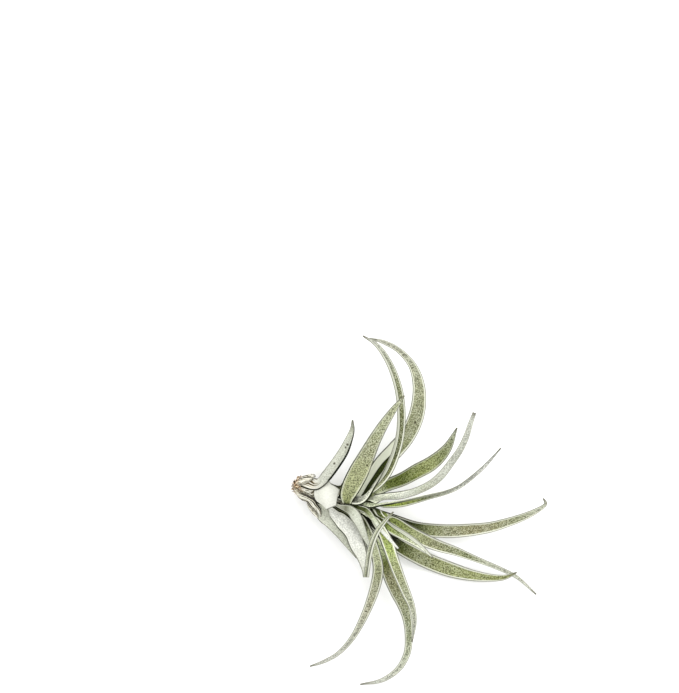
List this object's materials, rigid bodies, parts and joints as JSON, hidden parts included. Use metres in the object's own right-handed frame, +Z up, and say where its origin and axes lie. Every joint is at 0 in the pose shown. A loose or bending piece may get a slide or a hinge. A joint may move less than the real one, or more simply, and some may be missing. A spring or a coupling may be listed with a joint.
{
  "type": "air plant",
  "caption": "Bare air plant lying on its side: a short stem with a crown of long channelled leaves, some curled back, some trimmed short.",
  "frame": {"origin": "on the surface the plant lies on, below the middle of its bounding box", "axes": "+Z up from the surface, +Y along the longest spread of the leaves, +X from the broken stem end towards the crown's right-hand leaves"},
  "size_m": [0.1156, 0.1583, 0.051],
  "materials": {
    "bark": "rough, fibrous",
    "dry": "dry, matt, ribbed",
    "pale": "matt, silvery with fine scales",
    "cream": "smooth, satin",
    "olive": "matt, grey-green with fine silver speckle",
    "green": "matt, fresh green with fine silver speckle",
    "white": "matt, whitish with fine scales"
  },
  "bodies": {
    "root": {"stem": "bark", "dry_base_top": "dry", "dry_base_under": "dry", "dry_tongue": "dry", "trimmed_leaf": "pale", "outer_short_leaf": "dry", "under_leaf_upper": "dry", "cut_sheath": "cream", "under_leaf_lower": "dry", "hooked_leaf": "pale", "under_leaf_right": "dry", "front_leaf": "olive", "short_sheath": "pale", "low_right_leaf": "olive", "tall_narrow_leaf": "olive", "tall_wide_leaf": "olive", "long_bottom_leaf": "olive", "right_broad_leaf": "green", "long_right_leaf": "olive", "lower_left_leaf": "olive", "right_pale_leaf": "pale", "narrow_right_leaf": "olive", "white_spike": "white", "thin_right_leaf": "green", "inner_short_leaf": "green", "bright_green_leaf": "green", "bud": "green"}
  },
  "joints": []
}
